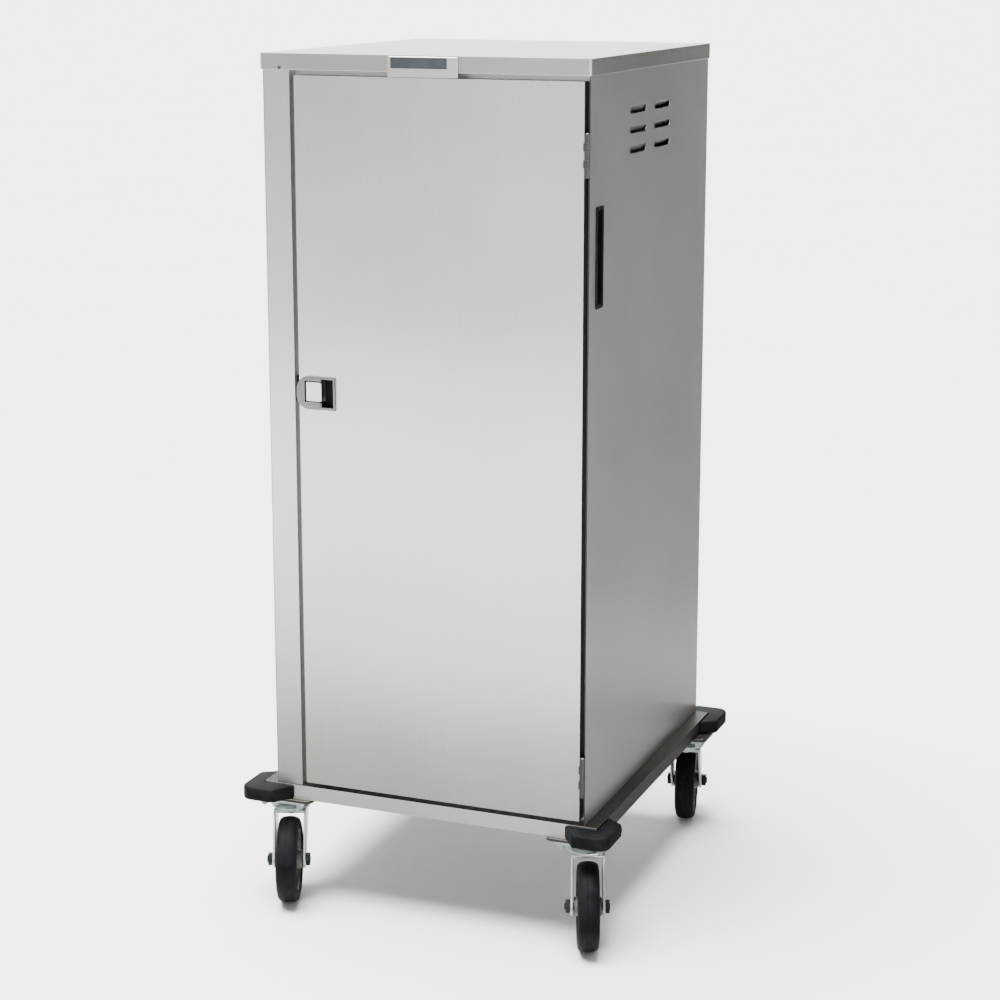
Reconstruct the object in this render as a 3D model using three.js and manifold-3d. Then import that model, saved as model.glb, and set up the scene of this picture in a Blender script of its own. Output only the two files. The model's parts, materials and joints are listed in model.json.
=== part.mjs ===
// Enclosed stainless meal tray cart: one door, a base frame with corner bumpers and four swivel casters.
// Millimetres, +Z up. The front faces -Y, the viewer's right is +X, the floor is z = 0.
import * as THREE from 'three';
import { mergeVertices } from 'three/addons/utils/BufferGeometryUtils.js';
import Module from 'manifold-3d';

const wasm = await Module();
wasm.setup();

// ---- driving dimensions -------------------------------------------------------------------------
const TOP_Z = 1500;            // top of the cart
const HALF_W = 290;            // half the cabinet's width, over the side panels
const HALF_D = 325;            // half the cabinet's depth, door face to back
const SHEET = 1.5;             // stainless sheet
const GAP = 0.3;               // clearance between pieces that touch
const RIM_DROP = 28;           // height of the top's turned-down rim
const RIM_OVERHANG = 3;

const BASE_HALF_W = 314;       // the base frame stands out past the cabinet's sides
const BASE_Z0 = 192;
const BASE_Z1 = 218;
const BASE_FLANGE = 38;
const BASE_WEB = 3;
const PAD_OUT = 50;            // caster pad, from the swivel axis outwards, inwards and along the side
const PAD_IN = 62;
const PAD_SIDE = 48;
const PAD_T = 5;

const DOOR_X = [-231, 281];
const DOOR_Z = [226, 1464];
const DOOR_T = 24;
const FIELD_MARGIN = 64;       // the liner's pressed field keeps this far inside the cabinet's opening
const STILE_X = -241;          // inner edge of the left stile
const STILE_BACK = 3;          // the stile's face lies this far behind the door's face
const STILE_LEG = 18;          // depth of the stile's outer leg
const OPENING_X = [-222, 262];
const OPENING_Z = [246, 1446];

const HINGE_PIN = [288, -329];
const HINGE_H = 66;
const HINGE_Z = [273, 1315];   // lower ends of the two hinges
const KNUCKLES = 5;
const KNUCKLE_R = 4.3;
const PIN_R = 2.5;

const LATCH_Z = 932;
const LATCH_PIVOT = [-216, -321.5];

const GRIP_Z = [1096, 1263];
const GRIP_FLANGE_Y = [-293, -258];
const GRIP_CUP_Y = [-289, -262];
const GRIP_DEPTH = 26;

const VENT_LENGTH = 88;
const VENT_HEIGHT = 12;
const VENT_Y = [-80, 52];
const VENT_Z = [1340, 1373, 1406];

const LEDGES = 10;
const LEDGE_PITCH = 114.3;
const LEDGE_Z0 = 285;
const LEDGE_DEPTH = 42;
const LEDGE_LIP = 7;
const LINER_X = [-215, 255];   // the tray slot's width, between the two slide panels
const LINER_Y = [-288, 300];
const LINER_Z = [252, 1440];

const WHEEL_R = 76.2;
const TYRE_HALF = 19;
const TYRE_BORE = 56;
const HUB_HALF = 23.8;
const WHEEL_SIDES = 24;
const FORK_Y = [25, 29];       // inner and outer face of each fork leg
const TRAIL = 43;              // wheel axle behind the swivel axis
const SWIVEL_X = 283;
const SWIVEL_Y_FRONT = -286;
const SWIVEL_Y_REAR = 282.8;
const PLATE_HALF = [48, 46];
const PLATE_Z = [182, 186.7];
const CROWN_Z = [158, 163];
const FRONT_TURN = -69;        // degrees from +X to each caster's trail direction
const REAR_TURN = 103;

const BUMPER_Z = [192.8, 216.8];
const BUMPER_SIDE = 30;        // how far it stands out from the base's side
const BUMPER_FRONT = 40;       // and from its front

const FRONT_Y = -HALF_D;
const DOOR_BACK = FRONT_Y + DOOR_T;
const BODY_TOP = TOP_Z - SHEET - GAP;
const BODY_Z0 = BASE_Z1 + GAP;
const SIDE_IN = HALF_W - SHEET;

// ---- materials ----------------------------------------------------------------------------------
const finish = (color, roughness, metalness) => () =>
  new THREE.MeshStandardMaterial({ color, roughness, metalness });
const brushedSteel = finish(0xc6c4bc, 0.36, 0.92);
const rimSteel = finish(0xb9b7b0, 0.32, 0.94);
const innerSteel = finish(0xb4b4b0, 0.45, 0.9);
const frameSteel = finish(0x9a9891, 0.4, 0.85);
const zincPlate = finish(0xaebcc0, 0.35, 0.85);
const polished = finish(0xd8d8d4, 0.2, 0.95);
const blackRubber = finish(0x17181b, 0.75, 0.0);
const blackTread = finish(0x1b1e22, 0.65, 0.0);
const hubGrey = finish(0x4a4c4d, 0.55, 0.1);
const blackPlastic = finish(0x141312, 0.45, 0.0);
const darkLabel = finish(0x4d565c, 0.5, 0.3);

// ---- solids -------------------------------------------------------------------------------------
function solid(geometry) {
  const bare = geometry.clone();
  bare.deleteAttribute('normal');
  bare.deleteAttribute('uv');
  const merged = mergeVertices(bare, 1e-4);
  return new wasm.Manifold(new wasm.Mesh({
    numProp: 3,
    vertProperties: new Float32Array(merged.attributes.position.array),
    triVerts: new Uint32Array(merged.index.array),
  }));
}

function geometryOf(shape) {
  const mesh = shape.getMesh();
  const geometry = new THREE.BufferGeometry();
  geometry.setAttribute('position', new THREE.BufferAttribute(new Float32Array(mesh.vertProperties), 3));
  geometry.setIndex(new THREE.BufferAttribute(new Uint32Array(mesh.triVerts), 1));
  geometry.computeVertexNormals();
  return geometry;
}

const join = (...parts) => parts.reduce((whole, part) => whole.add(part));
const cut = (whole, ...tools) => tools.reduce((left, tool) => left.subtract(tool), whole);

function block(x, y, z) {
  const geometry = new THREE.BoxGeometry(x[1] - x[0], y[1] - y[0], z[1] - z[0]);
  geometry.translate((x[0] + x[1]) / 2, (y[0] + y[1]) / 2, (z[0] + z[1]) / 2);
  return solid(geometry);
}

// An outline drawn in (x, y) and raised from z[0] to z[1].
function raiseZ(outline, z, options = {}) {
  const bevel = options.bevel ?? 0;
  const geometry = new THREE.ExtrudeGeometry(outline, {
    depth: z[1] - z[0] - 2 * bevel,
    bevelEnabled: bevel > 0,
    bevelThickness: bevel,
    bevelSize: bevel,
    bevelOffset: -bevel,
    bevelSegments: options.rounds ?? 2,
    curveSegments: options.curve ?? 6,
  });
  geometry.translate(0, 0, z[0] + bevel);
  return geometry;
}

// An outline drawn in (y, z) and raised along x.
function raiseX(outline, x, options) {
  const geometry = raiseZ(outline, [0, x[1] - x[0]], options);
  const turn = new THREE.Matrix4().makeBasis(
    new THREE.Vector3(0, 1, 0), new THREE.Vector3(0, 0, 1), new THREE.Vector3(1, 0, 0));
  geometry.applyMatrix4(turn);
  geometry.translate(x[0], 0, 0);
  return geometry;
}

// An outline drawn in (x, z) and raised along y.
function raiseY(outline, y, options) {
  const geometry = raiseZ(outline, [0, y[1] - y[0]], options);
  geometry.rotateX(Math.PI / 2);
  geometry.translate(0, y[1], 0);
  return geometry;
}

// A rectangle with its own radius at each corner, in the order low-low, high-low, high-high, low-high.
function rounded(a, b, radii, Path = THREE.Shape) {
  const [r0, r1, r2, r3] = Array.isArray(radii) ? radii : [radii, radii, radii, radii];
  const path = new Path();
  path.moveTo(a[0] + r0, b[0]);
  path.lineTo(a[1] - r1, b[0]);
  path.absarc(a[1] - r1, b[0] + r1, r1, -Math.PI / 2, 0, false);
  path.lineTo(a[1], b[1] - r2);
  path.absarc(a[1] - r2, b[1] - r2, r2, 0, Math.PI / 2, false);
  path.lineTo(a[0] + r3, b[1]);
  path.absarc(a[0] + r3, b[1] - r3, r3, Math.PI / 2, Math.PI, false);
  path.lineTo(a[0], b[0] + r0);
  path.absarc(a[0] + r0, b[0] + r0, r0, Math.PI, Math.PI * 1.5, false);
  return path;
}

function polygon(points) {
  return new THREE.Shape(points.map(([a, b]) => new THREE.Vector2(a, b)));
}

// A rod along z.
function rod(radius, centre, z, sides = 20) {
  const geometry = new THREE.CylinderGeometry(radius, radius, z[1] - z[0], sides);
  geometry.rotateX(Math.PI / 2);
  geometry.translate(centre[0], centre[1], (z[0] + z[1]) / 2);
  return solid(geometry);
}

// A revolved profile of (radius, height) points, closed on itself, about the z axis.
function turned(profile, sides) {
  const points = [...profile, profile[0]].map(([r, h]) => new THREE.Vector2(r, h));
  const geometry = new THREE.LatheGeometry(points, sides);
  geometry.rotateX(Math.PI / 2);
  return geometry;
}

const cart = new THREE.Group();

function add(name, shape, material, parent = cart) {
  const geometry = shape.isBufferGeometry ? shape : geometryOf(shape);
  const mesh = new THREE.Mesh(geometry, material());
  mesh.name = name;
  parent.add(mesh);
  return mesh;
}

// ---- base frame: an inward-open channel all round, two cross members and four caster pads -------
const corners = [
  { tag: 'front_left', sx: -1, sy: -1, y: SWIVEL_Y_FRONT, turn: FRONT_TURN },
  { tag: 'front_right', sx: 1, sy: -1, y: SWIVEL_Y_FRONT, turn: FRONT_TURN },
  { tag: 'rear_left', sx: -1, sy: 1, y: SWIVEL_Y_REAR, turn: REAR_TURN },
  { tag: 'rear_right', sx: 1, sy: 1, y: SWIVEL_Y_REAR, turn: REAR_TURN },
];

function baseFrame() {
  const outX = BASE_HALF_W;
  const outY = HALF_D;
  const outer = raiseZ(rounded([-outX, outX], [-outY, outY], 3), [BASE_Z0, BASE_Z1], { curve: 2 });
  const inX = outX - BASE_FLANGE;
  const inY = outY - BASE_FLANGE;
  let frame = cut(
    solid(outer),
    block([-inX, inX], [-inY, inY], [BASE_Z0 - 1, BASE_Z1 + 1]),
    block([-outX + BASE_WEB, outX - BASE_WEB], [-outY + BASE_WEB, outY - BASE_WEB],
      [BASE_Z0 + BASE_WEB, BASE_Z1 - BASE_WEB]));
  const member = [BASE_Z0 + BASE_WEB, BASE_Z1 - BASE_WEB];
  for (const y of [-110, 110]) {
    frame = join(frame, block([-outX + 2, outX - 2], [y - 20, y + 20], member));
  }
  for (const corner of corners) {
    const across = [corner.sx * (SWIVEL_X - PAD_IN), corner.sx * (SWIVEL_X + PAD_OUT)].sort((a, b) => a - b);
    const pad = rounded(across, [corner.y - PAD_SIDE, corner.y + PAD_SIDE], 12);
    frame = join(frame, solid(raiseZ(pad, [BASE_Z0 - PAD_T, BASE_Z0 + 0.5], { curve: 1 })));
  }
  return frame;
}
add('base_frame', baseFrame(), frameSteel);

// ---- corner bumpers: rubber angles round the base corners, with slanted ends ---------------------
function bumperOutline(sx, sy) {
  const at = (u, v) => [sx * (BASE_HALF_W + u), sy * (HALF_D + v)];
  const radius = 20;
  const steps = 4;
  const points = [at(-59, GAP), at(GAP, GAP), at(GAP, -60), at(BUMPER_SIDE, -40)];
  for (let i = 0; i <= steps; i++) {
    const a = (i / steps) * Math.PI / 2;
    points.push(at(BUMPER_SIDE - radius * (1 - Math.cos(a)), BUMPER_FRONT - radius * (1 - Math.sin(a))));
  }
  points.push(at(-33, BUMPER_FRONT));
  return polygon(points);
}
for (const { tag, sx, sy } of corners) {
  add(`bumper_${tag}`, raiseZ(bumperOutline(sx, sy), BUMPER_Z, { bevel: 3, rounds: 2 }), blackRubber);
}

// ---- side panels: sheet with louvred vents and the hand grip's cut-out --------------------------
function ventHole(y, z) {
  const hole = new THREE.Path();
  const half = VENT_LENGTH / 2 - VENT_HEIGHT / 2;
  hole.absarc(y + half, z, VENT_HEIGHT / 2, -Math.PI / 2, Math.PI / 2, false);
  hole.absarc(y - half, z, VENT_HEIGHT / 2, Math.PI / 2, Math.PI * 1.5, false);
  return hole;
}

// The blade that the press turns inward from the slot's upper edge.
function ventBlade(y, z, side) {
  const inside = SIDE_IN * side;
  const inward = (d) => inside - side * d;
  const top = z + VENT_HEIGHT / 2;
  const blade = polygon([
    [inward(-0.6), top + 4], [inward(1.2), top + 4], [inward(2.2), top],
    [inward(7), top - 7], [inward(6), top - 7.8], [inward(-0.6), top + 0.4],
  ]);
  return solid(raiseY(blade, [y - VENT_LENGTH / 2 + 2, y + VENT_LENGTH / 2 - 2]));
}

function sidePanel(side) {
  const frontEdge = FRONT_Y + STILE_BACK;
  const outline = rounded([frontEdge, HALF_D - GAP], [BODY_Z0, BODY_TOP], 0.5);
  for (const y of VENT_Y) for (const z of VENT_Z) outline.holes.push(ventHole(y, z));
  outline.holes.push(rounded([GRIP_CUP_Y[0] - 0.5, GRIP_CUP_Y[1] + 0.5],
    [GRIP_Z[0] + 3, GRIP_Z[1] - 3], 4, THREE.Path));
  const x = side > 0 ? [SIDE_IN, HALF_W] : [-HALF_W, -SIDE_IN];
  let panel = solid(raiseX(outline, x, { curve: 2 }));
  for (const y of VENT_Y) for (const z of VENT_Z) panel = join(panel, ventBlade(y, z, side));
  return panel;
}
add('right_side_panel', sidePanel(1), brushedSteel);

add('left_side_panel', sidePanel(-1), brushedSteel);

// ---- front stile: a channel inside the left panel's front edge; its inner leg carries the keeper ---
function frontStile() {
  const front = FRONT_Y + STILE_BACK;
  const outer = -SIDE_IN + GAP;
  const face = block([outer, STILE_X], [front, front + SHEET], [BODY_Z0, BODY_TOP]);
  const outerLeg = block([outer, outer + SHEET], [front, front + STILE_LEG], [BODY_Z0, BODY_TOP]);
  const innerLeg = block([STILE_X - SHEET, STILE_X], [front, DOOR_BACK + 1.6], [BODY_Z0, BODY_TOP]);
  return join(face, outerLeg, innerLeg);
}
add('front_stile', frontStile(), brushedSteel);

// ---- back panel: a pan whose side flanges lie inside the side panels ------------------------------
const PAN_IN = SIDE_IN - GAP;
add('back_panel', join(
  block([-PAN_IN, PAN_IN], [HALF_D - GAP - SHEET, HALF_D - GAP], [BODY_Z0, BODY_TOP]),
  block([-PAN_IN, -PAN_IN + SHEET], [HALF_D - 18, HALF_D - 1], [BODY_Z0, BODY_TOP]),
  block([PAN_IN - SHEET, PAN_IN], [HALF_D - 18, HALF_D - 1], [BODY_Z0, BODY_TOP])), brushedSteel);

// ---- floor pan, with its edges turned up ----------------------------------------------------------
const FLOOR_BACK = HALF_D - 2.2;
const FLOOR_UP = BODY_Z0 + 18;
add('floor_pan', join(
  block([-PAN_IN, PAN_IN], [DOOR_BACK + 4.3, FLOOR_BACK - 18], [BODY_Z0, BODY_Z0 + SHEET]),
  block([-PAN_IN + 2, PAN_IN - 2], [FLOOR_BACK - 19, FLOOR_BACK], [BODY_Z0, BODY_Z0 + SHEET]),
  block([-PAN_IN + 2, PAN_IN - 2], [FLOOR_BACK - SHEET, FLOOR_BACK], [BODY_Z0, FLOOR_UP]),
  block([-PAN_IN, -PAN_IN + SHEET], [DOOR_BACK + 4.3, HALF_D - 22], [BODY_Z0, FLOOR_UP]),
  block([PAN_IN - SHEET, PAN_IN], [DOOR_BACK + 4.3, HALF_D - 22], [BODY_Z0, FLOOR_UP])), innerSteel);

// ---- top with its turned-down rim -----------------------------------------------------------------
function topCap() {
  const x = HALF_W + RIM_OVERHANG;
  const y = HALF_D + RIM_OVERHANG;
  const shell = solid(raiseZ(rounded([-x, x], [-y, y], 5), [TOP_Z - RIM_DROP, TOP_Z + 6],
    { bevel: 2.5, rounds: 2, curve: 2 }));
  const flat = block([-x - 9, x + 9], [-y - 9, y + 9], [TOP_Z - RIM_DROP - 9, TOP_Z]);
  const hollow = solid(raiseZ(rounded([-x + SHEET, x - SHEET], [-y + SHEET, y - SHEET], 4),
    [TOP_Z - RIM_DROP - 2, TOP_Z - SHEET], { curve: 2 }));
  return cut(shell.intersect(flat), hollow);
}
add('top_cap', topCap(), rimSteel);

// ---- face frame: the ring behind the door, its edge turned back round the opening ----------------
function faceFrame() {
  const y0 = DOOR_BACK + 2;
  const ring = rounded([-PAN_IN, PAN_IN], [BODY_Z0, BODY_TOP - GAP], 0.5);
  ring.holes.push(rounded(OPENING_X, OPENING_Z, 6, THREE.Path));
  const lip = rounded([OPENING_X[0] - SHEET, OPENING_X[1] + SHEET],
    [OPENING_Z[0] - SHEET, OPENING_Z[1] + SHEET], 7);
  lip.holes.push(rounded(OPENING_X, OPENING_Z, 6, THREE.Path));
  const plate = solid(raiseY(ring, [y0, y0 + 2], { curve: 2 }));
  return join(plate, solid(raiseY(lip, [y0, y0 + 12], { curve: 2 })));
}
add('face_frame', faceFrame(), innerSteel);

// ---- tray slide panels: sheet with lipped ledges, boxed out to the side walls ----------------------
function slidePanel(side) {
  const wall = side < 0 ? LINER_X[0] : LINER_X[1];
  const out = wall + side * SHEET;
  const edge = side * PAN_IN;
  const plan = polygon([
    [wall, LINER_Y[0]], [wall, LINER_Y[1]], [edge, LINER_Y[1]], [edge, LINER_Y[1] - SHEET],
    [out, LINER_Y[1] - SHEET], [out, -256.5], [edge, -256.5], [edge, -258], [out, -258], [out, LINER_Y[0]]]);
  let panel = solid(raiseZ(plan, LINER_Z));
  const root = wall + side * SHEET / 2;
  const tip = wall - side * LEDGE_DEPTH;
  for (let i = 0; i < LEDGES; i++) {
    const z = LEDGE_Z0 + i * LEDGE_PITCH;
    const ledge = polygon([
      [root, z], [tip, z], [tip, z - LEDGE_LIP], [tip + side * SHEET, z - LEDGE_LIP],
      [tip + side * SHEET, z - SHEET], [wall - side * 4, z - SHEET],
      [wall - side * 0.4, z - 7], [root, z - 7]]);
    panel = join(panel, solid(raiseY(ledge, [LINER_Y[0] + 2, LINER_Y[1] - 2])));
  }
  return panel;
}
add('left_tray_slides', slidePanel(-1), innerSteel);
add('right_tray_slides', slidePanel(1), innerSteel);

// ---- door: outer pan, inner liner with a pressed field, gasket ------------------------------------
const CUTOUT = { x: [-223, -164.6], z: [LATCH_Z - 28.2, LATCH_Z + 24] };
const BOLT_Z = [LATCH_Z - 10, LATCH_Z + 15];
const BOLT_Y = [-311.2, -303.4];
function doorShell() {
  const back = DOOR_BACK - 1.9;
  const outline = rounded(DOOR_X, DOOR_Z, 1.5);
  const pan = solid(raiseY(outline, [FRONT_Y, back], { curve: 2 }));
  const hollow = block([DOOR_X[0] + SHEET, DOOR_X[1] - SHEET], [FRONT_Y + SHEET, back + 1],
    [DOOR_Z[0] + SHEET, DOOR_Z[1] - SHEET]);
  const latchHole = block(CUTOUT.x, [FRONT_Y - 1, FRONT_Y + 3], CUTOUT.z);
  const boltSlot = block([DOOR_X[0] - 1, DOOR_X[0] + 3], [BOLT_Y[0] - 0.5, back + 1],
    [BOLT_Z[0] - 0.5, BOLT_Z[1] + 0.5]);
  return cut(pan, hollow, latchHole, boltSlot);
}
add('door_shell', doorShell(), brushedSteel);

function doorLiner() {
  const y = [DOOR_BACK - 1.6, DOOR_BACK - 0.1];
  const sheet = solid(raiseY(rounded(DOOR_X, DOOR_Z, 1.5), y, { curve: 2 }));
  const fieldX = [OPENING_X[0] + FIELD_MARGIN, OPENING_X[1] - FIELD_MARGIN];
  const fieldZ = [OPENING_Z[0] + FIELD_MARGIN, OPENING_Z[1] - FIELD_MARGIN];
  const pressed = (grow, depth) => solid(raiseY(
    rounded([fieldX[0] + grow, fieldX[1] - grow], [fieldZ[0] + grow, fieldZ[1] - grow], 16),
    [y[0] - 6, y[0] + depth], { bevel: 4, rounds: 1, curve: 2 }));
  const below = block([DOOR_X[0], DOOR_X[1]], [y[0] - 9, y[0]], DOOR_Z);
  return cut(join(sheet, cut(pressed(0, 7), below)), pressed(SHEET, 7 - SHEET));
}
add('door_liner', doorLiner(), innerSteel);

const gasketRing = rounded([OPENING_X[0] - 7, OPENING_X[1] + 8], [OPENING_Z[0] - 9, OPENING_Z[1] + 9], 8);
gasketRing.holes.push(rounded([OPENING_X[0] - 1.5, OPENING_X[1] + 2], [OPENING_Z[0] - 3, OPENING_Z[1] + 3],
  4, THREE.Path));
add('door_gasket', raiseY(gasketRing, [DOOR_BACK + 0.2, DOOR_BACK + 1.7], { curve: 2 }), blackRubber);

// ---- hinges: two leaves with interleaved knuckles on a pin in front of the cabinet's corner --------
function hinge(z0) {
  const [px, py] = HINGE_PIN;
  const step = HINGE_H / KNUCKLES;
  const z = [z0, z0 + HINGE_H];
  const bore = () => rod(PIN_R + GAP, HINGE_PIN, [z[0] - 1, z[1] + 1], 8);
  const span = (i) => [z0 + i * step + (i ? 0.2 : 0), z0 + (i + 1) * step - (i < KNUCKLES - 1 ? 0.2 : 0)];
  let frameLeaf = block([px - 1.8, px + 0.2], [py, DOOR_BACK - 5], z);
  let doorLeaf = block([DOOR_X[1] + GAP, DOOR_X[1] + 2.3], [FRONT_Y + 0.5, DOOR_BACK - 6], z);
  for (let i = 0; i < KNUCKLES; i++) {
    const own = span(i);
    if (i % 2 === 0) {
      frameLeaf = join(frameLeaf, rod(KNUCKLE_R, HINGE_PIN, own, 10));
    } else {
      const clearY = [py - 6, FRONT_Y + STILE_BACK + 0.6];
      const clear = block([px - 5, px + 1], clearY, [own[0] - 0.4, own[1] + 0.4]);
      frameLeaf = cut(frameLeaf, clear);
      doorLeaf = join(doorLeaf, rod(KNUCKLE_R, HINGE_PIN, own, 10),
        block([DOOR_X[1] + GAP, px - 3.4], [py - 2, py + 0.4], own),
        block([DOOR_X[1] + GAP, DOOR_X[1] + 2.3], [py - 2, FRONT_Y + 1], own));
    }
  }
  return { frameLeaf: cut(frameLeaf, bore()), doorLeaf: cut(doorLeaf, bore()) };
}

function hingePin(z0) {
  const head = 1.6;
  const z1 = z0 + HINGE_H;
  const headR = KNUCKLE_R - 0.4;
  const profile = [[0, z0 - 3.2], [headR - 0.8, z0 - 2.8], [headR, z0 - head], [headR, z0 - GAP],
    [PIN_R, z0 - GAP], [PIN_R, z1 + GAP], [headR, z1 + GAP], [headR, z1 + head],
    [headR - 0.8, z1 + 2.8], [0, z1 + 3.2]];
  const geometry = new THREE.LatheGeometry(profile.map(([r, h]) => new THREE.Vector2(r, h)), 8);
  geometry.rotateX(Math.PI / 2);
  geometry.translate(HINGE_PIN[0], HINGE_PIN[1], 0);
  return geometry;
}
['lower', 'upper'].forEach((tag, i) => {
  const { frameLeaf, doorLeaf } = hinge(HINGE_Z[i]);
  add(`${tag}_hinge_frame_leaf`, frameLeaf, frameSteel);
  add(`${tag}_hinge_door_leaf`, doorLeaf, frameSteel);
  add(`${tag}_hinge_pin`, hingePin(HINGE_Z[i]), polished);
});

// ---- latch: bezel with finger pocket, sprung paddle on a pin, bolt, keeper on the stile -------------
const PADDLE_X = [-217.5, -189];
const PADDLE_Z = [LATCH_Z - 17, LATCH_Z + 17];
const POCKET_X = [-188.4, -166.4];
const ARM_Z = [LATCH_Z - 4, LATCH_Z + 4];
function latchBezel() {
  const rimX = [-229, -162.6];
  const rimZ = [LATCH_Z - 30.4, LATCH_Z + 26.4];
  const plate = solid(raiseY(rounded(rimX, rimZ, [22, 3, 3, 22]), [FRONT_Y - 2.6, FRONT_Y - GAP],
    { bevel: 0.8, rounds: 1, curve: 4 }));
  const box = block([CUTOUT.x[0] + 0.4, CUTOUT.x[1] - 0.4], [FRONT_Y - 1, -311.5],
    [CUTOUT.z[0] + 0.4, CUTOUT.z[1] - 0.4]);
  const paddleWell = block([CUTOUT.x[0] + 1.6, POCKET_X[0] + 0.1], [FRONT_Y - 9, -312.7],
    [PADDLE_Z[0] - 1.4, PADDLE_Z[1] + 1.4]);
  const pocket = block(POCKET_X, [FRONT_Y - 9, -312.4], [CUTOUT.z[0] + 1.8, CUTOUT.z[1] - 1.8]);
  const armSlot = block([-218.6, -204.5], [-314, -310], [ARM_Z[0] - 1, ARM_Z[1] + 1]);
  const pinHole = rod(1.8, LATCH_PIVOT, [PADDLE_Z[0] - 5.4, PADDLE_Z[1] + 5.4], 12);
  return cut(join(plate, box), paddleWell, pocket, armSlot, pinHole);
}
add('latch_bezel', latchBezel(), polished);

function latchPaddle() {
  const [hx, hy] = LATCH_PIVOT;
  const plate = solid(raiseY(rounded(PADDLE_X, PADDLE_Z, [2, 3, 3, 2]), [-327.4, -325],
    { bevel: 0.7, rounds: 1, curve: 2 }));
  const edgeX = [PADDLE_X[1] - 2.2, PADDLE_X[1] - 0.2];
  const edge = block(edgeX, [-326, -319], [PADDLE_Z[0] + 3, PADDLE_Z[1] - 3]);
  const web = block([hx - 1.4, hx + 1.8], [-325.6, hy], [PADDLE_Z[0] + 2, PADDLE_Z[1] - 2]);
  const arm = block([hx - 1.5, hx + 1.5], [hy, -304.6], ARM_Z);
  const hub = rod(3, LATCH_PIVOT, [PADDLE_Z[0] + 1, PADDLE_Z[1] - 1], 12);
  const bore = rod(1.8, LATCH_PIVOT, [PADDLE_Z[0] - 1, PADDLE_Z[1] + 1], 10);
  return cut(join(plate, edge, web, arm, hub), bore);
}
add('latch_paddle', latchPaddle(), polished);
add('latch_paddle_pin', rod(1.5, LATCH_PIVOT, [PADDLE_Z[0] - 5, PADDLE_Z[1] + 5], 12), zincPlate);

// The bolt's nose is slanted on its inner side, so that the door slams shut over the keeper's lip.
function latchBolt() {
  const nose = polygon([[-239, BOLT_Y[0]], [-209, BOLT_Y[0]], [-209, BOLT_Y[1]], [-233.5, BOLT_Y[1]],
    [-239, BOLT_Y[0] + 2.2]]);
  const slot = block([-221, -213.9], [BOLT_Y[0] - 1, BOLT_Y[1] + 1], [ARM_Z[0] - 0.6, ARM_Z[1] + 0.6]);
  return cut(solid(raiseZ(nose, BOLT_Z)), slot);
}
add('latch_bolt', latchBolt(), zincPlate);

const KEEPER_Z = [LATCH_Z - 20, LATCH_Z + 24];
add('latch_keeper', join(
  block([STILE_X + GAP, STILE_X + 1.8], [-318, DOOR_BACK], KEEPER_Z),
  block([STILE_X + 1.2, STILE_X + 7.2], [-315, -312.6], BOLT_Z)), frameSteel);

// ---- hand grips: moulded cups let into the side panels ----------------------------------------------
function handGrip(side) {
  const outX = HALF_W + GAP;
  const flange = rounded(GRIP_FLANGE_Y, GRIP_Z, 4);
  const cup = rounded(GRIP_CUP_Y, [GRIP_Z[0] + 3.5, GRIP_Z[1] - 3.5], 4);
  const well = rounded([GRIP_CUP_Y[0] + 2, GRIP_CUP_Y[1] - 2], [GRIP_Z[0] + 6, GRIP_Z[1] - 6], 3);
  const across = (from, to) => side > 0 ? [from, to] : [-to, -from];
  return cut(join(
    solid(raiseX(flange, across(outX, outX + 2.2), { bevel: 0.7, rounds: 1, curve: 2 })),
    solid(raiseX(cup, across(outX - GRIP_DEPTH, outX + 0.8), { curve: 2 }))),
  solid(raiseX(well, across(outX - GRIP_DEPTH + 2, outX + 9), { curve: 2 })));
}
add('right_hand_grip', handGrip(1), blackPlastic);
add('left_hand_grip', handGrip(-1), blackPlastic);

// ---- name holder on the rim, with a blank strip in it ------------------------------------------------
const RIM_FACE = -HALF_D - RIM_OVERHANG;
function nameHolder() {
  const z = [TOP_Z - 35, TOP_Z - 1.5];
  const frame = rounded([-58, 66], z, 3);
  const plate = solid(raiseY(frame, [RIM_FACE - 3.2, RIM_FACE - GAP], { bevel: 0.8, rounds: 1, curve: 3 }));
  return cut(plate, block([-52.5, 47.5], [RIM_FACE - 6, RIM_FACE - 1.6], [TOP_Z - 21.5, TOP_Z - 2.8]));
}
add('name_holder', nameHolder(), rimSteel);
add('name_strip', block([-52, 47], [RIM_FACE - 2.6, RIM_FACE - 1.9], [TOP_Z - 21, TOP_Z - 3.3]), darkLabel);

// ---- swivel casters --------------------------------------------------------------------------------
function casterPlate() {
  const [hx, hy] = PLATE_HALF;
  const outline = rounded([-hx, hx], [-hy, hy], 9);
  for (const sx of [-1, 1]) {
    for (const sy of [-1, 1]) {
      const hole = new THREE.Path();
      hole.absarc(sx * (hx - 13), sy * (hy - 12), 5, 0, Math.PI * 2, false);
      outline.holes.push(hole);
    }
  }
  const plate = solid(raiseZ(outline, PLATE_Z, { curve: 2 }));
  const raceway = solid(turned([[0, 173.2], [24, 173.2], [32, 176], [33.5, 182.4], [0, 182.4]], 14));
  const kingpin = rod(6, [0, 0], [150, 175], 10);
  const nut = rod(10, [0, 0], [149, 157.4], 6);
  return join(plate, raceway, kingpin, nut);
}

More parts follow.
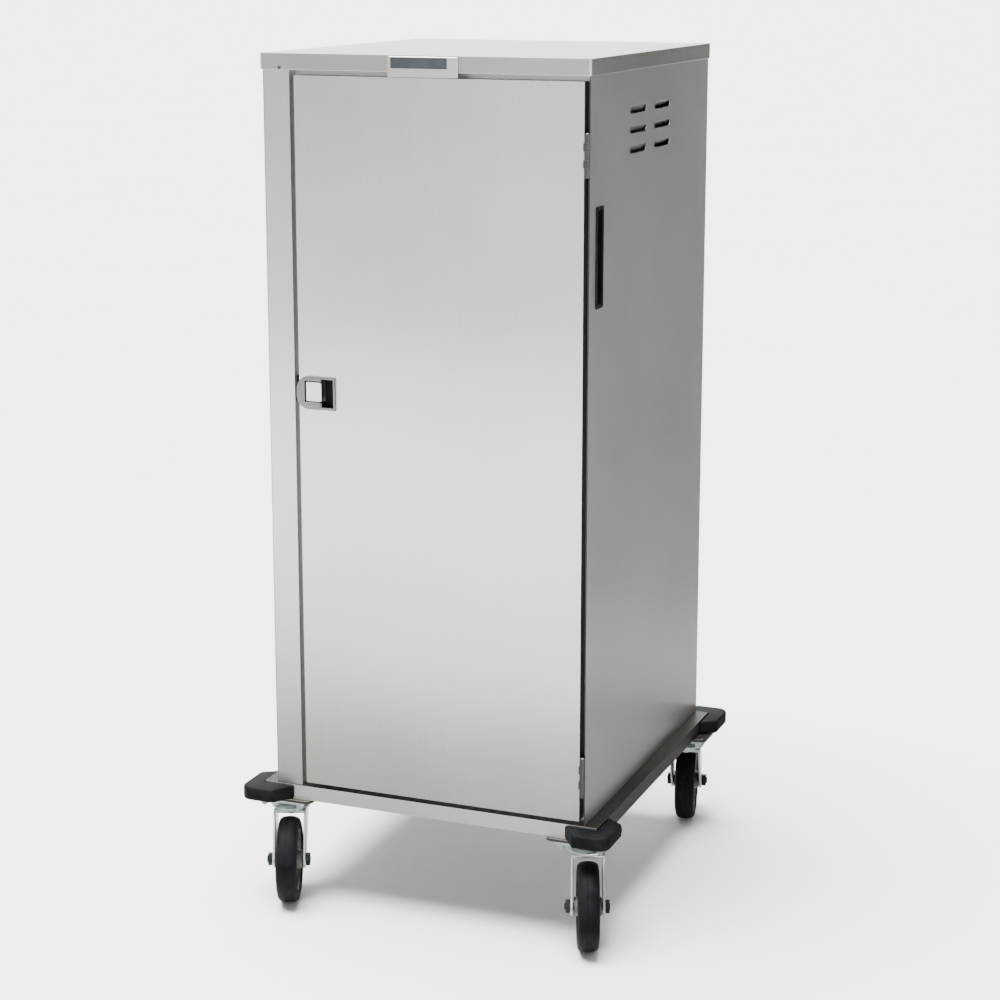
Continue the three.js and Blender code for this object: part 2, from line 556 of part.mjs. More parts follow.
function casterFork() {
  const crown = solid(raiseZ(rounded([-31, 31], [-FORK_Y[1], FORK_Y[1]], 8), CROWN_Z, { curve: 2 }));
  const raceway = solid(turned([[0, 162.5], [34, 162.5], [34, 167], [25, 172.9], [0, 172.9]], 14));
  const boss = 15;
  const leg = new THREE.Shape();
  leg.moveTo(-29, 161);
  leg.lineTo(-29, 148);
  leg.quadraticCurveTo(-8, 112, TRAIL - 14, WHEEL_R - 5);
  leg.absarc(TRAIL, WHEEL_R, boss, Math.PI * 1.15, Math.PI * 2.12, false);
  leg.quadraticCurveTo(38, 128, 29, 150);
  leg.lineTo(29, 161);
  const side = (y) => solid(raiseY(leg, y, { curve: 3 }));
  const axleBore = new THREE.CylinderGeometry(6.3, 6.3, 80, 10).translate(TRAIL, 0, WHEEL_R);
  return cut(join(crown, raceway, side([-FORK_Y[1], -FORK_Y[0]]), side(FORK_Y)),
    rod(6.6, [0, 0], [150, 180], 10), solid(axleBore));
}

function casterAxle() {
  const across = (r, y, sides) => solid(new THREE.CylinderGeometry(r, r, y[1] - y[0], sides)
    .translate(TRAIL, (y[0] + y[1]) / 2, WHEEL_R));
  const seat = FORK_Y[1] + GAP;
  return join(across(6, [-41, 38], 10), across(12, [-seat - 9, -seat], 6), across(12, [seat, seat + 8], 6));
}

const aboutAxle = (geometry) => geometry.rotateX(Math.PI / 2).translate(TRAIL, 0, WHEEL_R);

function wheelHub() {
  const half = [[6.4, -HUB_HALF], [16, -HUB_HALF], [20, -5], [48, -5], [TYRE_BORE, -15.5]];
  const profile = [...half, ...half.slice().reverse().map(([r, h]) => [r, -h])];
  return aboutAxle(turned(profile, WHEEL_SIDES));
}

function wheelTyre() {
  const edge = TYRE_HALF;
  const profile = [[TYRE_BORE + GAP, -15.6], [63, -edge], [71, -edge + 2], [74.8, -edge + 7], [WHEEL_R, -5],
    [WHEEL_R, 5], [74.8, edge - 7], [71, edge - 2], [63, edge], [TYRE_BORE + GAP, 15.6]];
  return aboutAxle(turned(profile, WHEEL_SIDES));
}

for (const { tag, sx, y, turn } of corners) {
  const caster = new THREE.Group();
  caster.position.set(sx * SWIVEL_X, y, 0);
  cart.add(caster);
  add(`caster_plate_${tag}`, casterPlate(), zincPlate, caster);
  const swivel = new THREE.Group();
  swivel.rotation.z = THREE.MathUtils.degToRad(turn);
  caster.add(swivel);
  add(`caster_fork_${tag}`, casterFork(), zincPlate, swivel);
  add(`caster_axle_${tag}`, casterAxle(), zincPlate, swivel);
  add(`wheel_hub_${tag}`, wheelHub(), hubGrey, swivel);
  add(`wheel_tyre_${tag}`, wheelTyre(), blackTread, swivel);
}

export default cart;
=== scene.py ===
import json
import math

import bpy
from mathutils import Matrix, Vector

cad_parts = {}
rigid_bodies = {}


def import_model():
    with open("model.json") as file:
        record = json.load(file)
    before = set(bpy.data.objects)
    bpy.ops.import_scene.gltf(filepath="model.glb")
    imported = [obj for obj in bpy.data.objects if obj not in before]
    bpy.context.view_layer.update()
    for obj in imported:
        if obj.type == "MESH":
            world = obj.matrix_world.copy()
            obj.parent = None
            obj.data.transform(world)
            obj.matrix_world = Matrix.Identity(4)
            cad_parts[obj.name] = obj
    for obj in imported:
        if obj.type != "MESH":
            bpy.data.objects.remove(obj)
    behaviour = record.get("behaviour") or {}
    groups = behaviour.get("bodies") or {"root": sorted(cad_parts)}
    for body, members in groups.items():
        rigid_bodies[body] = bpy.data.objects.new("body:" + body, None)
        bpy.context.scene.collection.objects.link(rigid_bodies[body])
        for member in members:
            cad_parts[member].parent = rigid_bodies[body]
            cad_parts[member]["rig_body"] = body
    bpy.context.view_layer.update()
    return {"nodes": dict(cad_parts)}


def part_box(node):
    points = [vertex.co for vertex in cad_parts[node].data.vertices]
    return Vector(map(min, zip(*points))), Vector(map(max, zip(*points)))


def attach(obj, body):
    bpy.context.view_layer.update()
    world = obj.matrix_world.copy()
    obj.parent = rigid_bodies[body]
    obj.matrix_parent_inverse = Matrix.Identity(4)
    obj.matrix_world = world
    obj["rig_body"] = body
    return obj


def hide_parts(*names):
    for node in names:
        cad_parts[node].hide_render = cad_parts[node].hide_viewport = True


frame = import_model()
bpy.ops.object.select_all(action="DESELECT")


# ---- Camera -------------------------------------------------------------------------------------
# Stands to the right of the door and a little above the top, as the photograph was taken. The long
# lens and the small downward shift keep the cart's edges as upright as they are there.
lens_data = bpy.data.cameras.new("camera")
lens_data.sensor_width = 36
lens_data.lens = 82.75
lens_data.shift_y = -0.0557
lens_data.clip_end = 300
camera = bpy.data.objects.new("camera", lens_data)
camera.location = (1.5096, -3.7800, 1.6707)
camera.rotation_euler = (math.radians(77.808), 0, math.radians(21.664))
bpy.context.scene.collection.objects.link(camera)
bpy.context.scene.camera = camera


# ---- Studio floor and lights --------------------------------------------------------------------
# A pale, smooth floor under a wide soft sun, in a dimmer even room. Two bent cards, one before the
# door and one beside the cart, are there only to be mirrored in its steel, and a lit backdrop
# shines in the top.
def mottled(
    name, scale, dark, light, roughness,
    detail=2, ends=(0, 1), specular=0.5, metallic=0, relief=None,
):
    """Paint, rubber, plastic or plate whose tone wanders from dark to light with one noise.

    roughness is one value, or a pair that follows the same noise. relief is the (scale, strength,
    depth) of a finer noise that stands out of the surface."""
    finish = bpy.data.materials.new(name)
    finish.use_nodes = True
    nodes, links = finish.node_tree.nodes, finish.node_tree.links
    shader = nodes["Principled BSDF"]
    shader.inputs["Metallic"].default_value = metallic
    shader.inputs["Specular IOR Level"].default_value = specular
    place = nodes.new("ShaderNodeTexCoord")
    mottle = nodes.new("ShaderNodeTexNoise")
    mottle.inputs["Scale"].default_value = scale
    mottle.inputs["Detail"].default_value = detail
    links.new(place.outputs["Object"], mottle.inputs["Vector"])
    tone = nodes.new("ShaderNodeValToRGB")
    for stop, end, colour in zip(tone.color_ramp.elements, ends, (dark, light)):
        stop.position = end
        stop.color = (*colour, 1)
    links.new(mottle.outputs["Fac"], tone.inputs["Fac"])
    links.new(tone.outputs["Color"], shader.inputs["Base Color"])
    if isinstance(roughness, tuple):
        gloss = nodes.new("ShaderNodeMapRange")
        gloss.inputs["To Min"].default_value = roughness[0]
        gloss.inputs["To Max"].default_value = roughness[1]
        links.new(mottle.outputs["Fac"], gloss.inputs["Value"])
        links.new(gloss.outputs["Result"], shader.inputs["Roughness"])
    else:
        shader.inputs["Roughness"].default_value = roughness
    if relief:
        pebble = nodes.new("ShaderNodeTexNoise")
        pebble.inputs["Scale"].default_value = relief[0]
        links.new(place.outputs["Object"], pebble.inputs["Vector"])
        bump = nodes.new("ShaderNodeBump")
        bump.inputs["Strength"].default_value = relief[1]
        bump.inputs["Distance"].default_value = relief[2]
        links.new(pebble.outputs["Fac"], bump.inputs["Height"])
        links.new(bump.outputs["Normal"], shader.inputs["Normal"])
    return finish


floor_size, floor_squares = 160, 8
bpy.ops.mesh.primitive_grid_add(
    x_subdivisions=floor_squares, y_subdivisions=floor_squares, size=floor_size, location=(0, 0, 0)
)
floor = bpy.context.object
floor.name = "studio_floor"
floor_paint = mottled(
    "floor_paint", 0.8, (0.87, 0.87, 0.875), (0.90, 0.90, 0.90), roughness=0.8, specular=0.1
)
floor.data.materials.append(floor_paint)

room = bpy.data.worlds.new("room")
room.use_nodes = True
nodes, links = room.node_tree.nodes, room.node_tree.links
outlook = nodes.new("ShaderNodeTexCoord")
towards_backdrop = nodes.new("ShaderNodeVectorMath")
towards_backdrop.operation = "DOT_PRODUCT"
towards_backdrop.inputs[1].default_value = (-0.365, 0.905, 0.22)
links.new(outlook.outputs["Generated"], towards_backdrop.inputs[0])
backdrop = nodes.new("ShaderNodeValToRGB")
backdrop.color_ramp.elements[0].position = 0.62
backdrop.color_ramp.elements[0].color = (0.16, 0.16, 0.158, 1)
backdrop.color_ramp.elements[1].position = 0.93
backdrop.color_ramp.elements[1].color = (1, 1, 1, 1)
links.new(towards_backdrop.outputs["Value"], backdrop.inputs["Fac"])
links.new(backdrop.outputs["Color"], nodes["Background"].inputs["Color"])
nodes["Background"].inputs["Strength"].default_value = 3.4
bpy.context.scene.world = room

sun_data = bpy.data.lights.new("wide_sun", "SUN")
sun_data.energy = 14.5
sun_data.angle = math.radians(40)
sun_data.color = (1.0, 0.99, 0.975)
sun = bpy.data.objects.new("wide_sun", sun_data)
sun.rotation_euler = Vector((0.14, 0.10, -1)).to_track_quat("-Z", "Y").to_euler()
bpy.context.scene.collection.objects.link(sun)


def pick(piece, wanted, kind="face"):
    """Selects the faces, edges or corners whose middle answers to the given test."""
    bpy.ops.object.mode_set(mode="EDIT")
    bpy.ops.mesh.select_mode(type={"face": "FACE", "edge": "EDGE", "vert": "VERT"}[kind])
    bpy.ops.mesh.select_all(action="DESELECT")
    bpy.ops.object.mode_set(mode="OBJECT")
    mesh = piece.data
    for part in {"face": mesh.polygons, "edge": mesh.edges, "vert": mesh.vertices}[kind]:
        if kind == "vert":
            middle = part.co
        else:
            corners = [mesh.vertices[i].co for i in part.vertices]
            middle = sum(corners, Vector()) / len(corners)
        if wanted(middle):
            part.select = True
    bpy.ops.object.mode_set(mode="EDIT")


def at(value, wanted):
    """Whether a coordinate is the wanted one, rounding apart."""
    return abs(value - wanted) < 1e-5


def reflector(name, x, y, height, tones, patch=None):
    """A card bent up from the floor at y[1], glowing in tones, that only mirrored rays can see.

    tones are (height, brightness) pairs; the part on the floor has the first one. patch is
    (place, size, share), a soft spot that is dimmer by that share."""
    full_glow, lift = 5, 0.002
    bpy.ops.object.select_all(action="DESELECT")
    bpy.ops.mesh.primitive_plane_add(size=1, location=((x[0] + x[1]) / 2, (y[0] + y[1]) / 2, lift))
    card = bpy.context.object
    card.name = name
    card.scale = (x[1] - x[0], abs(y[1] - y[0]), 1)
    bpy.ops.object.transform_apply(location=True, rotation=True, scale=True)
    pick(card, lambda m: at(m.y, y[1]), "edge")
    bpy.ops.mesh.extrude_region_move(TRANSFORM_OT_translate={"value": (0, 0, height)})
    bpy.ops.object.mode_set(mode="OBJECT")
    glow = bpy.data.materials.new(f"{name}_glow")
    glow.use_nodes = True
    nodes, links = glow.node_tree.nodes, glow.node_tree.links
    nodes.remove(nodes["Principled BSDF"])
    lamp = nodes.new("ShaderNodeEmission")
    lamp.inputs["Strength"].default_value = full_glow
    place = nodes.new("ShaderNodeTexCoord")
    up = nodes.new("ShaderNodeSeparateXYZ")
    links.new(place.outputs["Object"], up.inputs["Vector"])
    rise = nodes.new("ShaderNodeMapRange")
    rise.inputs["From Max"].default_value = height
    links.new(up.outputs["Z"], rise.inputs["Value"])
    ramp = nodes.new("ShaderNodeValToRGB")
    ramp.color_ramp.interpolation = "EASE"
    stops = ramp.color_ramp.elements
    while len(stops) < len(tones):
        stops.new(0.5)
    for stop, (level, brightness) in zip(stops, tones):
        grey = brightness / full_glow
        stop.position = level / height
        stop.color = (grey, grey, grey, 1)
    links.new(rise.outputs["Result"], ramp.inputs["Fac"])
    links.new(ramp.outputs["Color"], lamp.inputs["Color"])
    if patch:
        middle, size, share = patch
        off = nodes.new("ShaderNodeVectorMath")
        off.operation = "DISTANCE"
        off.inputs[1].default_value = middle
        links.new(place.outputs["Object"], off.inputs[0])
        dim = nodes.new("ShaderNodeMapRange")
        dim.interpolation_type = "SMOOTHSTEP"
        dim.inputs["From Max"].default_value = size
        dim.inputs["To Min"].default_value = full_glow * (1 - share)
        dim.inputs["To Max"].default_value = full_glow
        links.new(off.outputs["Value"], dim.inputs["Value"])
        links.new(dim.outputs["Result"], lamp.inputs["Strength"])
    links.new(lamp.outputs["Emission"], nodes["Material Output"].inputs["Surface"])
    card.data.materials.append(glow)
    card.visible_camera = card.visible_diffuse = card.visible_shadow = False
    card.visible_transmission = card.visible_volume_scatter = False


card_height = 2.4
shaded_patch = ((-0.62, -1.2, 1.40), 0.42, 0.50)
reflector(
    "front_card", (-1.7, 0.6), (-0.44, -1.2), card_height,
    [
        (0, 0.85), (0.03, 1.05), (0.11, 3.2), (0.5, 4.1),
        (0.72, 3.7), (0.95, 1.75), (1.12, 2.15), (1.45, 1.8),
    ],
    patch=shaded_patch,
)
reflector(
    "side_card", (0.37, 2.4), (-0.45, 1.0), card_height,
    [(0, 0.50), (0.06, 0.84), (0.30, 0.38), (0.7, 0.19), (1.1, 0.13)],
)


# ---- Side panels --------------------------------------------------------------------------------
# Stainless sheet with a satin finish, its fine grain upright. The vent slots are lanced and their
# blades pushed inwards, and the front stile stands as a folded channel inside the left panel's edge.
def steel_finish(name, dark, light, roughness, grain=(700, 700, 9), ripple=0.0, anisotropy=0.5):
    """Satin stainless: fine grain across the given scales, soft clouding, and a slightly wavy sheet."""
    steel = bpy.data.materials.new(name)
    steel.use_nodes = True
    nodes, links = steel.node_tree.nodes, steel.node_tree.links
    shader = nodes["Principled BSDF"]
    shader.inputs["Metallic"].default_value = 1
    shader.inputs["Anisotropic"].default_value = anisotropy
    place = nodes.new("ShaderNodeTexCoord")
    stretch = nodes.new("ShaderNodeMapping")
    stretch.inputs["Scale"].default_value = grain
    hairline = nodes.new("ShaderNodeTexNoise")
    hairline.inputs["Scale"].default_value = 1
    hairline.inputs["Detail"].default_value = 3
    links.new(place.outputs["Object"], stretch.inputs["Vector"])
    links.new(stretch.outputs["Vector"], hairline.inputs["Vector"])
    cloud = nodes.new("ShaderNodeTexNoise")
    cloud.inputs["Scale"].default_value = 2.2
    cloud.inputs["Detail"].default_value = 4
    cloud.inputs["Roughness"].default_value = 0.55
    links.new(place.outputs["Object"], cloud.inputs["Vector"])
    colour = nodes.new("ShaderNodeValToRGB")
    colour.color_ramp.elements[0].position = 0.3
    colour.color_ramp.elements[0].color = (*dark, 1)
    colour.color_ramp.elements[1].position = 0.7
    colour.color_ramp.elements[1].color = (*light, 1)
    mingle = nodes.new("ShaderNodeMix")
    mingle.inputs["Factor"].default_value = 0.3
    links.new(cloud.outputs["Fac"], mingle.inputs["A"])
    links.new(hairline.outputs["Fac"], mingle.inputs["B"])
    links.new(mingle.outputs["Result"], colour.inputs["Fac"])
    links.new(colour.outputs["Color"], shader.inputs["Base Color"])
    gloss = nodes.new("ShaderNodeMapRange")
    gloss.inputs["To Min"].default_value = roughness - 0.06
    gloss.inputs["To Max"].default_value = roughness + 0.09
    links.new(mingle.outputs["Result"], gloss.inputs["Value"])
    links.new(gloss.outputs["Result"], shader.inputs["Roughness"])
    relief = nodes.new("ShaderNodeBump")
    relief.inputs["Strength"].default_value = 0.12
    relief.inputs["Distance"].default_value = 0.0003
    links.new(hairline.outputs["Fac"], relief.inputs["Height"])
    if ripple:
        swell = nodes.new("ShaderNodeTexNoise")
        swell.inputs["Scale"].default_value = 1.6
        swell.inputs["Detail"].default_value = 1
        links.new(place.outputs["Object"], swell.inputs["Vector"])
        bow = nodes.new("ShaderNodeBump")
        bow.inputs["Strength"].default_value = 1
        bow.inputs["Distance"].default_value = ripple
        links.new(swell.outputs["Fac"], bow.inputs["Height"])
        links.new(bow.outputs["Normal"], relief.inputs["Normal"])
    links.new(relief.outputs["Normal"], shader.inputs["Normal"])
    return steel


def softened(node, name, radius, steps=2, sharp=30):
    """A copy of one CAD solid: its triangles merged into clean faces, and its edges rolled over."""
    bpy.ops.object.select_all(action="DESELECT")
    solid = frame["nodes"][node]
    piece = bpy.data.objects.new(name, solid.data.copy())
    bpy.context.scene.collection.objects.link(piece)
    piece.data.materials.clear()
    bpy.context.view_layer.objects.active = piece
    piece.select_set(True)
    bpy.ops.mesh.customdata_custom_splitnormals_clear()
    bpy.ops.object.mode_set(mode="EDIT")
    bpy.ops.mesh.select_all(action="SELECT")
    bpy.ops.mesh.remove_doubles(threshold=0.00002)
    bpy.ops.mesh.dissolve_limited(angle_limit=math.radians(0.4))
    bpy.ops.object.mode_set(mode="OBJECT")
    roll = piece.modifiers.new("rolled_edges", "BEVEL")
    roll.width = radius
    roll.segments = steps
    roll.limit_method = "ANGLE"
    roll.angle_limit = math.radians(sharp)
    roll.use_clamp_overlap = True
    bpy.ops.object.modifier_apply(modifier="rolled_edges")
    bpy.ops.object.shade_smooth_by_angle(angle=math.radians(38))
    flat = piece.modifiers.new("flat_faces", "WEIGHTED_NORMAL")
    flat.keep_sharp = True
    flat.weight = 100
    bpy.ops.object.modifier_apply(modifier="flat_faces")
    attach(piece, solid["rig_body"])
    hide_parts(node)
    return piece


def refinish(piece, finish, wanted):
    """Gives a piece a second finish, on the faces that answer to the given test."""
    piece.data.materials.append(finish)
    for face in piece.data.polygons:
        if wanted(face):
            face.material_index = 1


panel_steel = steel_finish(
    "panel_steel", (0.47, 0.455, 0.435), (0.57, 0.555, 0.53), roughness=0.33, ripple=0.0016
)
# A near-black copy of the steel for the edges beside the door's seams: painted seam shade.
seam_shade_steel = steel_finish(
    "seam_shade_steel", (0.034, 0.032, 0.028), (0.066, 0.063, 0.056), roughness=0.5
)
right_edge_y = -0.3212  # the right panel's sheared front edge lies before this and is painted with the seam's shade
for node, name in (
    ("right_side_panel", "right_panel"),
    ("left_side_panel", "left_panel"),
    ("front_stile", "left_stile"),
):
    panel = softened(node, name, radius=0.0005)
    panel.data.materials.append(panel_steel)
    if node == "right_side_panel":
        refinish(panel, seam_shade_steel, lambda face: face.center.y < right_edge_y)


# ---- Back panel ---------------------------------------------------------------------------------
# A plain stainless pan of the same sheet as the sides, with the same rolled edges. Its two side
# edges are turned in against the side panels.
back = softened("back_panel", "back_pan", radius=0.0006)
back.data.materials.append(panel_steel)


# ---- Top ----------------------------------------------------------------------------------------
# One sheet laid over the cabinet, its rim turned down all round with a soft rolled edge. The grain
# runs from side to side, and years of trays have left it a little cloudy.
top_steel = steel_finish(
    "top_steel", (0.52, 0.515, 0.50), (0.61, 0.605, 0.59), roughness=0.30,
    grain=(9, 700, 700), ripple=0.0012, anisotropy=0,
)
# A darker copy of the top's steel for the rim's sideways faces: painted shade.
rim_shaded_steel = steel_finish(
    "rim_shaded_steel", (0.33, 0.32, 0.30), (0.43, 0.42, 0.40), roughness=0.34,
    grain=(9, 9, 700), ripple=0.0012,
)
top = softened("top_cap", "top_sheet", radius=0.0006)
top.data.materials.append(top_steel)
# The rim's sideways faces take the painted shade.
refinish(top, rim_shaded_steel, lambda face: abs(face.normal.z) < 0.6)


# ---- Inside of the cabinet ----------------------------------------------------------------------
# Floor pan, face frame and the two slide panels are plain mill-finished stainless: bent and lipped
# sheet, its grain running from front to back along the ledges where the trays slide.
inner_steel = steel_finish(
    "inner_steel", (0.42, 0.42, 0.415), (0.54, 0.54, 0.53), roughness=0.38, grain=(500, 14, 500)
)
for node, name in (
    ("floor_pan", "cabinet_floor"),
    ("face_frame", "door_surround"),
    ("left_tray_slides", "left_slides"),
    ("right_tray_slides", "right_slides"),
):
    sheet = softened(node, name, radius=0.0004, steps=1)
    sheet.data.materials.append(inner_steel)


# ---- Door ---------------------------------------------------------------------------------------
# A folded outer pan and a pressed inner liner, hemmed together, with a soft gasket on the inside.
# The big flat front is never quite flat, so the room's light lies on it in soft bands. The wall at
# the hinges, behind the fold, is painted near black as shade, like the shadowed seam beside it.
door_steel = steel_finish(
    "door_steel", (0.512, 0.486, 0.446), (0.632, 0.603, 0.560), roughness=0.30, ripple=0.0022
)
door_fold_y = -0.3245  # the door's side wall behind this is painted with the seam's shade
door_front = softened("door_shell", "door_front", radius=0.0012, steps=3)
door_front.data.materials.append(door_steel)
refinish(door_front, seam_shade_steel, lambda face: face.normal.x > 0.7 and face.center.y > door_fold_y)
door_back = softened("door_liner", "door_back", radius=0.0006)
door_back.data.materials.append(inner_steel)

seal_rubber = mottled("seal_rubber", 45, (0.028, 0.028, 0.03), (0.055, 0.054, 0.052), roughness=0.62)
seal = softened("door_gasket", "door_seal", radius=0.0004)
seal.data.materials.append(seal_rubber)


# ---- Base frame ---------------------------------------------------------------------------------
# A welded ring of stainless channel with two cross members and a pad at each corner for the caster.
# Its front is plain bright steel; all the other faces and the pads carry painted shade, near black.
ring_steel = steel_finish(
    "ring_steel", (0.56, 0.55, 0.52), (0.70, 0.69, 0.655), roughness=0.36, grain=(60, 60, 700)
)
# A near-black copy of the ring's steel: painted shade on every face but the front.
ring_painted_shade = steel_finish(
    "ring_painted_shade", (0.040, 0.0385, 0.034), (0.080, 0.078, 0.069), roughness=0.45, grain=(60, 60, 700)
)
shade_below_z = 0.1921  # faces below this, the caster pads and the front's lower edge, get the painted shade too
base = softened("base_frame", "base_ring", radius=0.0010)
base.data.materials.append(ring_steel)
# All faces that don't look forwards, and those low down, take the painted shade.
refinish(base, ring_painted_shade, lambda face: face.normal.y > -0.7 or face.center.z < shade_below_z)


# ---- Corner bumpers -----------------------------------------------------------------------------
# Moulded black rubber angles pushed round the corners of the base, thick at the corner and cut
# slantwise at both ends. One is modelled, and the other three are its mirrored copies.
bumper_rubber = mottled(
    "bumper_rubber", 38, (0.0022, 0.0026, 0.0032), (0.0075, 0.0085, 0.0095), roughness=(0.48, 0.70),
    detail=6, ends=(0.42, 0.78), specular=0.07, relief=(900, 0.25, 0.0003),
)
low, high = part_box("bumper_front_right")
inner_x, inner_y = 0.3143, -0.3253
slant_x, slant_y, corner_radius = 0.026, 0.020, 0.020
mid_height = (low.z + high.z) / 2
bpy.ops.object.select_all(action="DESELECT")
bpy.ops.mesh.primitive_cube_add(
    size=1,
    location=((inner_x + high.x) / 2, (inner_y + low.y) / 2, mid_height),
    scale=(high.x - inner_x, inner_y - low.y, high.z - low.z),
)
bumper = bpy.context.object
bpy.ops.object.transform_apply(location=True, rotation=True, scale=True)

pick(bumper, lambda m: at(m.x, inner_x))
bpy.ops.mesh.extrude_region_move(TRANSFORM_OT_translate={"value": (low.x - inner_x, 0, 0)})
pick(bumper, lambda m: at(m.y, inner_y) and m.x > inner_x)
bpy.ops.mesh.extrude_region_move(TRANSFORM_OT_translate={"value": (0, high.y - inner_y, 0)})
pick(bumper, lambda m: at(m.x, low.x) and at(m.y, low.y), "vert")
bpy.ops.transform.translate(value=(slant_x, 0, 0))
pick(bumper, lambda m: at(m.x, high.x) and at(m.y, high.y), "vert")
bpy.ops.transform.translate(value=(0, -slant_y, 0))
pick(bumper, lambda m: at(m.x, high.x) and at(m.y, low.y) and at(m.z, mid_height), "edge")
bpy.ops.mesh.bevel(offset=corner_radius, segments=6, profile=0.5, affect="EDGES")
bpy.ops.object.mode_set(mode="OBJECT")
roll = bumper.modifiers.new("moulded_edges", "BEVEL")
roll.width = 0.0036
roll.segments = 4
roll.limit_method = "ANGLE"
roll.angle_limit = math.radians(32)
bpy.ops.object.modifier_apply(modifier="moulded_edges")
bpy.ops.object.shade_smooth_by_angle(angle=math.radians(40))
bumper.data.materials.append(bumper_rubber)


def turned_out(piece):
    """Makes all of a piece's faces point outwards again, as after a mirrored copy."""
    bpy.ops.object.select_all(action="DESELECT")
    bpy.context.view_layer.objects.active = piece
    piece.select_set(True)
    bpy.ops.object.mode_set(mode="EDIT")
    bpy.ops.mesh.select_all(action="SELECT")
    bpy.ops.mesh.normals_make_consistent(inside=False)
    bpy.ops.object.mode_set(mode="OBJECT")


for corner, sx, sy in (
    ("front_right", 1, 1),
    ("front_left", -1, 1),
    ("rear_right", 1, -1),
    ("rear_left", -1, -1),
):
    moulding = bumper
    if corner != "front_right":
        moulding = bpy.data.objects.new("moulding", bumper.data.copy())
        bpy.context.scene.collection.objects.link(moulding)
        moulding.data.transform(Matrix.Diagonal((sx, sy, 1, 1)))
    moulding.name = f"{corner}_bumper"
    turned_out(moulding)
    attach(moulding, "cabinet")
    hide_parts(f"bumper_{corner}")


# ---- Hinges -------------------------------------------------------------------------------------
# Two butt hinges of stainless strip, rolled round a pin that stands in front of the cabinet's
# corner, so that the door swings right round. Pins are polished and peened over at both ends.
hinge_steel = steel_finish(
    "hinge_steel", (0.055, 0.053, 0.049), (0.090, 0.088, 0.081), roughness=0.42, grain=(400, 400, 60)
)
pin_steel = steel_finish(
    "pin_steel", (0.12, 0.118, 0.112), (0.18, 0.177, 0.168), roughness=0.34, grain=(60, 60, 900)
)
for height in ("upper", "lower"):
    for half in ("frame", "door"):
        leaf = softened(f"{height}_hinge_{half}_leaf", f"{height}_{half}_leaf", radius=0.0003, sharp=36)
        leaf.data.materials.append(hinge_steel)


def cleaned(crease):
    """Welds the active piece, turns its faces outwards, and smooths all but its sharper edges."""
    bpy.ops.object.mode_set(mode="EDIT")
    bpy.ops.mesh.select_all(action="SELECT")
    bpy.ops.mesh.remove_doubles(threshold=0.00001)
    bpy.ops.mesh.normals_make_consistent(inside=False)
    bpy.ops.object.mode_set(mode="OBJECT")
    bpy.ops.object.shade_smooth_by_angle(angle=math.radians(crease))


def turned(name, profile, steps):
    """A turned piece: one corner drawn out along the (radius, height) profile and spun about z.

    A profile that doesn't start on the axis is closed back to its first point."""
    if profile[0][0] > 0:
        profile = [*profile, profile[0]]
    bpy.ops.object.select_all(action="DESELECT")
    bpy.ops.mesh.primitive_plane_add(size=0.001, location=(0, 0, 0))
    piece = bpy.context.object
    piece.name = name
    bpy.ops.object.mode_set(mode="EDIT")
    bpy.ops.mesh.select_mode(type="VERT")
    bpy.ops.mesh.select_all(action="SELECT")
    bpy.ops.mesh.merge(type="CENTER")
    bpy.ops.transform.translate(value=(profile[0][0], 0, profile[0][1]))
    for (r0, h0), (r1, h1) in zip(profile, profile[1:]):
        bpy.ops.mesh.extrude_vertices_move(TRANSFORM_OT_translate={"value": (r1 - r0, 0, h1 - h0)})
    bpy.ops.mesh.select_all(action="SELECT")
    bpy.ops.mesh.spin(steps=steps, angle=2 * math.pi, center=(0, 0, 0), axis=(0, 0, 1))
    cleaned(35)
    return piece


peened_end = [(0, 0), (0.0022, 0.0002), (0.0034, 0.0012), (0.0039, 0.0026), (0.0025, 0.0029)]
for height in ("upper", "lower"):
    low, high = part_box(f"{height}_hinge_pin")
    middle = (low + high) / 2
    length = high.z - low.z
    pin = turned(f"{height}_pin", peened_end + [(r, length - h) for r, h in reversed(peened_end)], steps=32)
    pin.data.transform(Matrix.Translation((middle.x, middle.y, low.z)))
    pin.data.materials.append(pin_steel)
    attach(pin, "cabinet")
    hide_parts(f"{height}_hinge_pin")


# ---- Latch --------------------------------------------------------------------------------------
# A recessed paddle latch: a polished pressed bezel with a rounded end, a finger pocket beside the
# paddle with painted shade inside, a sprung bolt behind it, and a lipped keeper on the stile's fold.
latch_steel = steel_finish(
    "latch_steel", (0.55, 0.54, 0.52), (0.64, 0.63, 0.61), roughness=0.20, grain=(300, 300, 300)
)
bezel_steel = steel_finish(
    "bezel_steel", (0.12, 0.118, 0.110), (0.19, 0.187, 0.175), roughness=0.34, grain=(300, 300, 300)
)
# Near black for the inside of the finger pocket: painted shade.
pocket_painted_shade = mottled(
    "pocket_painted_shade", 220, (0.0015, 0.0014, 0.0013), (0.0040, 0.0038, 0.0035), roughness=0.55, specular=0.1
)
# The finger pocket's faces, behind its mouth and within half its width of its middle, get painted shade.
pocket_mouth_y, pocket_x, pocket_half = -0.3262, -0.1774, 0.0112
bezel = softened("latch_bezel", "latch_plate", radius=0.0004)
bezel.data.materials.append(bezel_steel)
refinish(
    bezel, pocket_painted_shade,
    lambda face: face.center.y > pocket_mouth_y and abs(face.center.x - pocket_x) < pocket_half,
)
paddle = softened("latch_paddle", "latch_lever", radius=0.0003)
paddle.data.materials.append(latch_steel)


